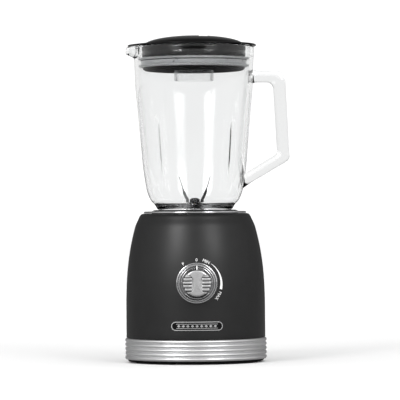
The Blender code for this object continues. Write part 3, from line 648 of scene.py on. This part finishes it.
def wire(name, points, radius, material, closed=True):
    """A round wire through the points, as a mesh."""
    curve = bpy.data.curves.new(name, "CURVE")
    curve.dimensions = "3D"
    curve.bevel_depth, curve.bevel_resolution = radius, 3
    curve.use_fill_caps = True
    spline = curve.splines.new("POLY")
    spline.points.add(len(points) - 1)
    for place, point in zip(spline.points, points):
        place.co = (*point, 1)
    spline.use_cyclic_u = closed
    obj = meshed(name, curve)
    obj.data.materials.clear()
    obj.data.materials.append(material)
    return tidy(obj)


def make_trim_band():
    """Five round beads, one above the other."""
    low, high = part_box("trim_band")
    pitch = (high.z - low.z) / BEADS
    half = pitch / 2 * BEAD_SHARE
    radius = (half ** 2 + BEAD_BULGE ** 2) / (2 * BEAD_BULGE)
    swing = asin(half / radius)
    inner = min(point.x for point in outline_of("trim_band"))
    outline = [Vector((inner, high.z))]
    for bead in range(BEADS):
        middle = high.z - (bead + 0.5) * pitch
        for k in range(2 * BEAD_STEPS + 1):
            turn = swing * (1 - k / BEAD_STEPS)
            outline.append(Vector((high.x - radius * (1 - cos(turn)), middle + radius * sin(turn))))
    outline.append(Vector((inner, low.z)))
    stand_for(lathe("trim_band_piece", outline, True, BAND_METAL), "base", "trim_band")


def make_base():
    remade("base_housing", 0.8 * MM, steps=5)
    make_trim_band()
    remade("top_trim_ring", 0.6 * MM)
    remade("jug_seat", 0.5 * MM, angle=90)
    low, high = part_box("cord_inlet")
    inlet_axis = BACK_UP @ Matrix.Translation((0, 0, -(low.z + high.z) / 2))
    remade("cord_inlet", 0.8 * MM, SMALL_ROUND, angle=180, to_axis=inlet_axis)
    for corner in ("front_left", "front_right", "back_left", "back_right"):
        bevelled(f"foot_{corner}", 0.6 * MM)


# ---- badge

BADGE_COLUMNS, BADGE_RIM, BADGE_LOWEST = 60, 0.95 * MM, 0.03 * MM
BADGE_LINE_AT, BADGE_LINE_HALF, BADGE_LINE_PITCH = 2.45 * MM, 0.3 * MM, 2.05 * MM
LOZENGE_PITCH = 5.4
LOZENGE = ((-2.1, 0.02), (-1.05, 0.8), (0, 1.6), (1.05, 0.8), (2.1, 0.02))     # x and half height, in mm


def pill_half_height(x, half_length, radius):
    beyond = max(0.0, abs(x) - half_length + radius)
    return sqrt(max(0.0, radius ** 2 - beyond ** 2))


def make_badge():
    """A pill-shaped badge with a bright rim, and a plain pattern of lines and lozenges on its field."""
    low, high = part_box("badge")
    middle, half_length, radius = (low.z + high.z) / 2, (high.x - low.x) / 2, (high.z - low.z) / 2

    def pill(inset):
        columns = []
        for k in range(BADGE_COLUMNS + 1):
            x = -(half_length - inset) * cos(pi * k / BADGE_COLUMNS)
            reach = max(BADGE_LOWEST, pill_half_height(x, half_length - inset, radius - inset))
            columns.append((x, middle - reach, middle + reach))
        return columns

    metal = LOOKS["satin_chrome"]
    stand_for(wrapped("badge_piece", pill(0), 0.0, 0.9 * MM, metal), "base", "badge")
    pieces = [wrapped("badge_field", pill(BADGE_RIM), 0.4 * MM, 1.1 * MM, LOOKS["gloss_black"])]
    for side, place in ((-1, "lower"), (1, "upper")):
        z = middle + side * BADGE_LINE_AT
        columns = [(k * BADGE_LINE_PITCH, z - BADGE_LINE_HALF, z + BADGE_LINE_HALF) for k in range(-12, 13)]
        pieces.append(wrapped(f"badge_line_{place}", columns, 0.6 * MM, 1.4 * MM, metal))
    for place in range(-4, 5):
        columns = [((LOZENGE_PITCH * place + x) * MM, middle - reach * MM, middle + reach * MM)
                   for x, reach in LOZENGE]
        pieces.append(wrapped(f"badge_lozenge_{place + 5}", columns, 0.6 * MM, 1.5 * MM, metal))
    for piece in pieces:
        stand_for(piece, "base")


# ---- dial

# Each mark's degrees clockwise from the top, and its distance from the knob's axis in millimetres
DIAL_MARKS = {"P": (-35, 27.3), "0": (0, 27.0), "MIN": (24.5, 27.5), "MAX": (121, 29.6)}
LETTER_HEIGHT, LETTER_TO_FONT, PRINT_HALF_DEPTH = 3.6 * MM, 1.4, 0.2 * MM
PRINT_FRONT, PRINT_BACK = 0.18 * MM, -0.2 * MM          # off the housing's surface
ARC_FIRST, ARC_LAST, ARC_STEPS, ARC_HALF_DEPTH = 38, 105, 36, 0.1 * MM
ARC_RADIUS, ARC_DRIFT, ARC_WIDTH, ARC_WIDENS, ARC_POWER = 28.3, 1.2, 0.5, 2.4, 1.2


def round_knob(radius, turn, y=0.0):
    """A point this far from the knob's axis, at this many radians clockwise from the top."""
    return Vector((radius * sin(turn), y, KNOB_CENTRE.z + radius * cos(turn)))


def print_on_housing(obj, name):
    """Lays a flat drawing, made in x and z, onto the housing as a thin print."""
    for vertex in obj.data.vertices:
        lift = PRINT_FRONT if vertex.co.y < 0 else PRINT_BACK
        vertex.co = on_housing(vertex.co.x, vertex.co.z, lift)
    obj.name = name
    obj.data.materials.clear()
    obj.data.materials.append(MARK)
    tidy(obj, PRINT_WELD)
    stand_for(obj, "base")


def dial_word(text, angle, radius):
    """Dial lettering that stands on a circle round the knob."""
    font = bpy.data.curves.new(f"dial_{text}", "FONT")
    font.body, font.size = text, LETTER_HEIGHT * LETTER_TO_FONT
    font.align_x, font.align_y = "CENTER", "CENTER"
    font.extrude, font.resolution_u = PRINT_HALF_DEPTH, 3
    word = meshed(f"dial_{text}", font)
    turn = radians(angle)
    word.data.transform(Matrix.Translation(round_knob(radius, turn))
                        @ Matrix.Rotation(turn, 4, "Y") @ Matrix.Rotation(pi / 2, 4, "X"))
    print_on_housing(word, f"dial_mark_{text}")


def make_dial():
    """The settings round the knob, and the arc that widens with the speed."""
    for text, (angle, radius) in DIAL_MARKS.items():
        dial_word(text, angle, radius * MM)
    rings = []
    for k in range(ARC_STEPS + 1):
        share = k / ARC_STEPS
        turn = radians(ARC_FIRST + (ARC_LAST - ARC_FIRST) * share)
        width = (ARC_WIDTH + ARC_WIDENS * share ** ARC_POWER) * MM
        middle = (ARC_RADIUS + ARC_DRIFT * share) * MM
        rings.append([round_knob(middle + across * width, turn, y * ARC_HALF_DEPTH)
                      for across, y in ((-0.5, -1), (-0.5, 1), (0.5, 1), (0.5, -1))])
    print_on_housing(loft("dial_arc", rings, MARK), "dial_mark_arc")


# ---- speed knob

# The face and its edge, as millimetres from the axis and behind the face; the slope goes on to the rim
KNOB_FACE = ((0, 0), (13.9, 0), (14.8, 0.25), (15.5, 0.9), (16.0, 1.7))
SLOPE_DROP, SLOPE_RADIUS, SLOPE_BEHIND = 9.6, 15.2 * MM, 0.3 * MM
GRIP_BAR, GRIP_FLARE, GRIP_MIDDLE, GRIP_REACH, GRIP_RIM = 4.6 * MM, 4.4 * MM, -1.0 * MM, 11.2 * MM, 18.4 * MM
GRIP_STEPS, GRIP_UPRIGHT = 16, 0.4                      # the share of its height that stays upright
RECESS_DEPTH, RIB_ROWS, RIB_PITCH, RIB_HALF, RIB_RISE = 1.5 * MM, 4, 4.0 * MM, 1.1 * MM, 0.9 * MM
RIB_DROP, RIB_START = 0.5 * MM, 6.2 * MM
# Black lines of painted shade between the ribs and along the recesses' edges: their half width, how far they stand
# off the recess floor, and the edge wire's radius
SHADE_LINE_HALF, SHADE_LINE_RISE, SHADE_LINE_WIRE = 0.55 * MM, 0.12 * MM, 0.32 * MM
KNOB_RINGS, RING_WIRE = ((18.4 * MM, 5.4 * MM), (20.6 * MM, 8.9 * MM)), 0.34 * MM   # radius and drop
POINTER_HALF, POINTER_LOW, POINTER_HIGH = 0.6 * MM, 15.3 * MM, 20.3 * MM
POINTER_FRONT, POINTER_BACK = 1.6 * MM, 6.4 * MM
BEZEL_BORE, BEZEL_FLAT, BEZEL_RIM, BEZEL_RISE, BEZEL_STEPS = 9.0 * MM, 21.9 * MM, 1.25 * MM, 1.6 * MM, 12
BEZEL_FRONT = 2.5 * MM       # how deep the bezel is before its back follows the housing


def joined(name, objs):
    """One object that holds all these meshes, in the first one's material."""
    builder = bmesh.new()
    for obj in objs:
        builder.from_mesh(obj.data)
    whole = new_mesh(name, [], [], objs[0].data.materials[0])
    builder.to_mesh(whole.data)
    builder.free()
    for obj in objs:
        bpy.data.objects.remove(obj, do_unlink=True)
    return soften(whole)


def prism(name, outline, front, back, material):
    """A flat outline of (x, z) points round the knob's centre, from one distance in front of the motor's
    axis back to another."""
    rings = [[(x, -depth, KNOB_CENTRE.z + z) for x, z in outline] for depth in (front, back)]
    return loft(name, rings, material)


def bar(name, start, end, low, high, front, back, material):
    return prism(name, [(start, low), (end, low), (end, high), (start, high)], front, back, material)


def grip_outline(side):
    """The finger recess beside the knob's grip bar: upright inside, flaring out above and below."""
    half = GRIP_STEPS // 2
    points = []
    for k in range(GRIP_STEPS + 1):
        share = 1 - k / half
        flare = GRIP_FLARE * max(0.0, abs(share) - GRIP_UPRIGHT) ** 2 / (1 - GRIP_UPRIGHT) ** 2
        points.append((side * (GRIP_BAR + flare), GRIP_MIDDLE + GRIP_REACH * share))
    for k in range(GRIP_STEPS + 1):
        z = GRIP_MIDDLE + GRIP_REACH * (k / half - 1)
        points.append((side * sqrt(GRIP_RIM ** 2 - z ** 2), z))
    return points


def rim_at(z, spare):
    """How far out the recess's rim lies at this height, with some height to spare."""
    return sqrt(GRIP_RIM ** 2 - (abs(z) + spare) ** 2)


def make_knob():
    """A flat face with two ribbed finger recesses, a stepped slope round it, and a pointer at the top. The slope
    is painted darker, and black lines of painted shade lie between the ribs and along the recesses' edges.
    """
    low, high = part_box("speed_knob")
    rim, face, back = (high.x - low.x) / 2, -low.y, -high.y
    metal, shade_black = LOOKS["satin_chrome"], LOOKS["black_plastic"]
    profile = [*KNOB_FACE, (rim / MM, SLOPE_DROP)]
    outline = [Vector((radius * MM, face - drop * MM)) for radius, drop in profile]
    outline += [Vector((rim, back)), Vector((0, back))]
    fine, closed = refined(outline, 0.2 * MM, 3, 8)
    axis = FRONT_UP @ Matrix.Translation((0, 0, -KNOB_CENTRE.z))
    knob = lathe("speed_knob_piece", fine, closed, metal, MIDDLE_ROUND, axis.inverted())
    floor = face - RECESS_DEPTH
    recesses, ribs, shade_lines = [], [], []
    for side in (-1, 1):
        recesses.append(prism("recess", grip_outline(side), face + 4 * MM, floor, metal))
        for row in range(RIB_ROWS + 1):
            z = GRIP_MIDDLE + (row - RIB_ROWS / 2) * RIB_PITCH - RIB_DROP
            # A black bar of painted shade along each gap between the ribs
            end = side * (rim_at(z, 1.0 * MM) - 1.8 * MM)
            shade_lines.append(bar("groove", side * RIB_START, end, z - SHADE_LINE_HALF, z + SHADE_LINE_HALF,
                               floor + SHADE_LINE_RISE, floor - 1.0 * MM, shade_black))
            if row < RIB_ROWS:
                z += RIB_PITCH / 2
                end = side * (rim_at(z, 1.6 * MM) - 1.6 * MM)
                ribs.append(bar("rib", side * RIB_START, end, z - RIB_HALF, z + RIB_HALF,
                                floor + RIB_RISE, floor - 2.0 * MM, metal))
    boolean(knob, recesses, "DIFFERENCE")
    boolean(knob, ribs, "UNION")
    bevel(knob, 0.22 * MM, 2, CUT_CORNER)
    # The slope's faces take the darker chrome: painted shade
    knob.data.materials.append(SLOPE_SHADE_CHROME)
    for polygon in knob.data.polygons:
        middle = polygon.center - KNOB_CENTRE
        on_slope = hypot(middle.x, middle.z) > SLOPE_RADIUS and polygon.center.y > -face + SLOPE_BEHIND
        polygon.material_index = 1 if on_slope else 0
    stand_for(knob, "knob", "speed_knob")
    # A black wire of painted shade along each recess's upright edge
    for side in (-1, 1):
        edge = [Vector((x, -floor, KNOB_CENTRE.z + z)) for x, z in grip_outline(side)[:GRIP_STEPS + 1]]
        shade_lines.append(wire("groove", edge, SHADE_LINE_WIRE, shade_black, closed=False))
    stand_for(joined("knob_painted_shade_lines", shade_lines), "knob")
    rings = [wire("ring", [round_knob(radius, 2 * pi * k / MIDDLE_ROUND, drop - face)
                           for k in range(MIDDLE_ROUND)], RING_WIRE, LOOKS["chrome"])
             for radius, drop in KNOB_RINGS]
    stand_for(joined("knob_rings", rings), "knob")
    stand_for(bar("knob_pointer", -POINTER_HALF, POINTER_HALF, POINTER_LOW, POINTER_HIGH,
                  face - POINTER_FRONT, face - POINTER_BACK, MARK), "knob")
    make_bezel(axis)


def make_bezel(axis):
    """The ring round the knob, with a round rim, its back following the housing."""
    low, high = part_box("knob_bezel")
    rim, face = (high.x - low.x) / 2, -low.y
    flat = face - BEZEL_RISE
    outline = [Vector((BEZEL_BORE, flat)), Vector((BEZEL_FLAT, flat))]
    for k in range(BEZEL_STEPS + 1):
        turn = pi * k / BEZEL_STEPS
        outline.append(Vector((rim - BEZEL_RIM - BEZEL_RIM * cos(turn), flat + BEZEL_RISE * sin(turn))))
    outline += [Vector((rim, -high.y)), Vector((BEZEL_BORE, -high.y))]

    def behind(radius, angle, height, index):
        if height > face - BEZEL_FRONT:
            return radius, height
        x, z = radius * cos(angle), KNOB_CENTRE.z + radius * sin(angle)
        return radius, -on_housing(x, z, 0.1 * MM).y

    bezel = lathe("knob_bezel_piece", outline, True, LOOKS["chrome"], MIDDLE_ROUND, axis.inverted(), behind)
    stand_for(bezel, "base", "knob_bezel")


# ---- jug

SPOUT_LOW, SPOUT_FULL, SPOUT_REACH, SPOUT_HALF_ANGLE = 0.3665, 0.3725, 0.0094, 24
# The four ribs inside the wall: the heights where each begins, is full, starts to fade and ends
RIB_TOP, RIB_FULL, RIB_FADE, RIB_LOW, RIB_DEPTH, RIB_HALF_ANGLE = 0.302, 0.280, 0.245, 0.196, 0.0017, 4
WALL_THICKNESS, WALL_LEVEL = 3 * MM, 4 * MM
HANDLE_HALF_DEPTH, HANDLE_SQUARENESS, HANDLE_SIDES = 9.5, 2.9, 28
HANDLE_FLARE, HANDLE_FLARE_WITHIN = 0.20, 5             # the share it widens, within this of the wall


def smooth_step(value):
    value = min(1.0, max(0.0, value))
    return value * value * (3 - 2 * value)


def spout_swell(angle, height, half_angle=SPOUT_HALF_ANGLE):
    """How much of the spout's reach there is at this place on the jug, from 0 to 1."""
    away = abs(degrees(angle) - 180)
    if away >= half_angle:
        return 0.0
    return cos(pi / 2 * away / half_angle) ** 2 * smooth_step((height - SPOUT_LOW) / (SPOUT_FULL - SPOUT_LOW))


def rib_depth(angle, height):
    """How far one of the four ribs stands in from the inner wall at this place."""
    if not RIB_LOW < height < RIB_TOP:
        return 0.0
    crest = max(0.0, 1 - abs(degrees(angle) % 90 - 45) / RIB_HALF_ANGLE)
    tall = min(smooth_step((RIB_TOP - height) / (RIB_TOP - RIB_FULL)),
               smooth_step((height - RIB_LOW) / (RIB_FADE - RIB_LOW)))
    return RIB_DEPTH * tall * crest ** 1.3


def make_jug():
    outline, closed = refined(outline_of("jug_glass", 90), 1.2 * MM, 6)
    inner = [any(abs(other.y - point.y) < WALL_LEVEL and other.x > point.x + WALL_THICKNESS
                 for other in outline) for point in outline]

    def shape(radius, angle, height, index):
        radius += SPOUT_REACH * spout_swell(angle, height)
        return radius - (rib_depth(angle, height) if inner[index] else 0.0), height

    jug = lathe("jug_glass_piece", outline, closed, LOOKS["jug_glass"], 180, shape=shape)
    handle = make_handle(outline)
    for obj in (jug, handle):
        obj.data.materials.append(HANDLE_GLASS)
    for polygon in handle.data.polygons:
        polygon.material_index = 1
    boolean(jug, [handle], "UNION")
    stand_for(jug, "jug", "jug_glass")


def arc(centre, radius, first, last, steps):
    turns = [radians(first + (last - first) * k / steps) for k in range(steps + 1)]
    return [Vector((centre[0] + radius * cos(turn), centre[1] + radius * sin(turn))) for turn in turns]


def line(first, last, steps):
    """The points between two ends, without the ends."""
    first, last = Vector(first), Vector(last)
    return [first.lerp(last, k / steps) for k in range(1, steps)]


def handle_edge(root, corner, bend, side, turn, slope, foot):
    """From the upper root out to a bend, down the side to a second bend, and in to the lower foot."""
    return ([Vector(root)] + line(root, corner, 8) + arc(*bend, 10) + line(*side, 8) + arc(*turn, 8)
            + line(slope, foot, 10) + [Vector(foot)])


def make_handle(wall):
    """The moulded handle, lofted between its outer and inner edges, in millimetres seen from the front."""
    outer = handle_edge((68.9, 350.7), (99.6, 350.7), ((99.6, 339.7), 11, 90, -2),
                        ((110.6, 339.3), (115.0, 247.4)), ((107.0, 247.7), 8, -2, -59),
                        (111.1, 240.8), (56.6, 209.0))
    inner = handle_edge((68.9, 336.6), (87.6, 336.6), ((87.6, 328.6), 8, 90, -3),
                        ((95.6, 328.2), (99.5, 254.3)), ((91.5, 254.9), 8, -4, -58),
                        (95.7, 248.1), (58.0, 225.2))
    rings = []

    def squared(value):
        return abs(value) ** (2 / HANDLE_SQUARENESS) * (1 if value > 0 else -1)

    for edge, inside in zip(outer, inner):
        middle, reach = (edge + inside) / 2, (edge - inside) / 2
        clear = max(0.0, middle.x - radius_at(wall, middle.y * MM) / MM)
        flare = 1 + HANDLE_FLARE * max(0.0, 1 - clear / HANDLE_FLARE_WITHIN) ** 2
        rings.append([])
        for side in range(HANDLE_SIDES):
            turn = 2 * pi * side / HANDLE_SIDES
            place = middle + reach * squared(cos(turn)) * flare
            rings[-1].append(Vector((place.x, HANDLE_HALF_DEPTH * flare * squared(sin(turn)), place.y)) * MM)
    return loft("handle", rings, LOOKS["jug_glass"])


def make_jug_fittings():
    for node, rounding in (("jug_collar", 0.8), ("jug_gasket", 0.5), ("blade_mount", 0.8)):
        remade(node, rounding * MM, angle=90)
    remade("shaft_bush", 0.3 * MM, SMALL_ROUND)


# ---- blades

BLADE_THICK, BLADE_BORE, BLADE_CLEAR = 1.5 * MM, 4.2 * MM, 0.3 * MM
BLADE_STEPS, ACROSS_BLADE = 5, 5                        # stations in each span, and points across each
EDGE_THIN, TOOTH_SHARE, TEETH_FROM = 0.45, 0.84, 8 * MM
# Reach and height along a wing, and the width there, in millimetres
UPPER_SPINE = ((0, 0), (6.2, 0), (8.4, 2.0), (14.0, 13.6), (15.0, 16.4), (19.9, 31.0))
UPPER_WIDTHS = (13, 13, 12.5, 10.5, 3.2, 1.6)
LOWER_SPINE = ((0, 0), (8, 0), (13, -1.2), (20, -3.4), (26, -4.8))
LOWER_WIDTHS = (14, 14, 13, 11, 8)


def blade(hub, spine, widths, degrees_round, node):
    """A stamped blade with toothed edges: two wings on one hub, the second one the first turned half
    round. It stands for its node, with its underside at the hub's height."""
    fine = curved([Vector(place) * MM for place in spine], BLADE_STEPS)
    stations = [widths[0] * MM]
    for a, b in zip(widths, widths[1:]):
        stations += [(a + (b - a) * k / BLADE_STEPS) * MM for k in range(1, BLADE_STEPS + 1)]
    wing = list(zip(fine, stations))
    chain = [(-1, *station) for station in reversed(wing[1:])] + [(1, *station) for station in wing]
    rings = []
    for row, (sign, place, width) in enumerate(chain):
        toothed = row % 2 == 0 and abs(place.x) > TEETH_FROM
        faces = {0.5: [], -0.5: []}
        for half, points in faces.items():
            for k in range(ACROSS_BLADE):
                at_edge = k in (0, ACROSS_BLADE - 1)
                share = (2 * k / (ACROSS_BLADE - 1) - 1) * (TOOTH_SHARE if toothed and at_edge else 1)
                height = place.y + BLADE_THICK * (0.5 + half * (EDGE_THIN if at_edge else 1.0))
                points.append(Vector((sign * place.x, width / 2 * share, height)))
        rings.append(faces[0.5] + faces[-0.5][::-1])
    obj = loft(f"{node}_piece", rings, BLADE_METAL)
    reach = 20 * MM
    hole = lathe("hole", [Vector((0, reach)), Vector((BLADE_BORE, reach)), Vector((BLADE_BORE, -reach)),
                          Vector((0, -reach))], False, BLADE_METAL, 48)
    boolean(obj, [hole], "DIFFERENCE")
    obj.data.transform(Matrix.Translation((0, 0, hub)) @ Matrix.Rotation(radians(degrees_round), 4, "Z"))
    stand_for(obj, "blades", node)


def make_blades():
    """Each blade stands just clear of the ring under it."""
    for node, under, spine, widths, degrees_round in (
            ("upper_blade", "blade_spacer", UPPER_SPINE, UPPER_WIDTHS, -20),
            ("lower_blade", "thrust_washer", LOWER_SPINE, LOWER_WIDTHS, -60)):
        blade(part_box(under)[1].z + BLADE_CLEAR, spine, widths, degrees_round, node)
    for node, rounding in (("blade_shaft", 0.4), ("thrust_washer", 0.3), ("blade_spacer", 0.3),
                           ("cap_nut", 0.3)):
        remade(node, rounding * MM, SMALL_ROUND).data.materials[0] = BLADE_METAL


# ---- lid

SLOT_LEFT, SLOT_RIGHT, SLOT_FLOOR, SLOT_HEIGHT, SLOT_HALF_LENGTH = 0.0057, 0.0167, 0.3912, 0.01, 0.04
# Over the spout the cover's rim reaches further out, and over a wider angle than the spout's own
LIP_STARTS, LIP_REACH, LIP_RADIUS, LIP_WIDER = 0.064, 0.0045, 0.0755, 6
# Where the black ring of painted shadow under the seal's lip lies
SEAL_SHADOW_IN, SEAL_SHADOW_DOWN, SEAL_SHADOW_DEEP, SEAL_SHADOW_TALL = 3.6 * MM, 3.1 * MM, 0.4 * MM, 0.8 * MM
SKIRT_STEPS, SKIRT_BEAD, SKIRT_PROUD, SKIRT_SUNK = 32, 0.5 * MM, 0.1 * MM, 0.6 * MM


def with_slot(obj, node):
    """Cuts the finger slot into the lid's cover or its filler cap, and rounds the cut's edges."""
    end, top = SLOT_HALF_LENGTH, SLOT_FLOOR + SLOT_HEIGHT
    slot = loft("slot", [[(x, -end, SLOT_FLOOR), (x, end, SLOT_FLOOR), (x, end, top), (x, -end, top)]
                         for x in (SLOT_LEFT, SLOT_RIGHT)], LOOKS["gloss_black"])
    boolean(obj, [slot], "DIFFERENCE")
    stand_for(bevel(obj, 0.3 * MM, 2, CUT_CORNER), body_of(node), node)


def make_lid():
    def over_spout(radius, angle, height, index):
        if radius > LIP_STARTS:
            swell = spout_swell(angle, SPOUT_FULL, SPOUT_HALF_ANGLE + LIP_WIDER)
            radius += LIP_REACH * swell * (radius / LIP_RADIUS)
        return radius, height

    with_slot(turned("lid_cover", 0.6 * MM, angle=90, shape=over_spout), "lid_cover")
    with_slot(turned("filler_cap", 0.8 * MM, angle=180, steps=5), "filler_cap")
    remade("lid_plug", 1.0 * MM)
    remade("filler_sleeve", 0.4 * MM, MIDDLE_ROUND)
    remade("lid_seal", 0.4 * MM)
    make_seal_shadow()
    remade("measuring_cup", 0.8 * MM, MIDDLE_ROUND)
    make_skirt_beads()


def make_seal_shadow():
    """A black ring of painted shadow in the groove under the seal's upper lip."""
    wall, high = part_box("lid_seal")[1].x - SEAL_SHADOW_IN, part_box("lid_seal")[1].z - SEAL_SHADOW_DOWN
    outline = [Vector((wall, high)), Vector((wall + SEAL_SHADOW_DEEP, high)),
               Vector((wall + SEAL_SHADOW_DEEP, high - SEAL_SHADOW_TALL)), Vector((wall, high - SEAL_SHADOW_TALL))]
    stand_for(lathe("lid_seal_painted_shadow", outline, True, LOOKS["black_plastic"]), "lid")


def make_skirt_beads():
    """Two raised bands round the plug's wall, above the seal."""
    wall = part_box("lid_plug")[1].x
    low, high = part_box("lid_seal")[1].z + 0.4 * MM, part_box("lid_plug")[1].z - 0.2 * MM
    outline = [Vector((wall - SKIRT_SUNK, high))]
    for k in range(SKIRT_STEPS + 1):
        share = k / SKIRT_STEPS
        proud = SKIRT_PROUD + SKIRT_BEAD * abs(sin(2 * pi * share))
        outline.append(Vector((wall + proud, high + (low - high) * share)))
    outline.append(Vector((wall - SKIRT_SUNK, low)))
    stand_for(lathe("lid_skirt_beads", outline, True, LOOKS["gloss_black"]), "lid")


make_studio()
dress_nodes()
make_base()
make_badge()
make_dial()
make_knob()
make_jug()
make_jug_fittings()
make_blades()
make_lid()
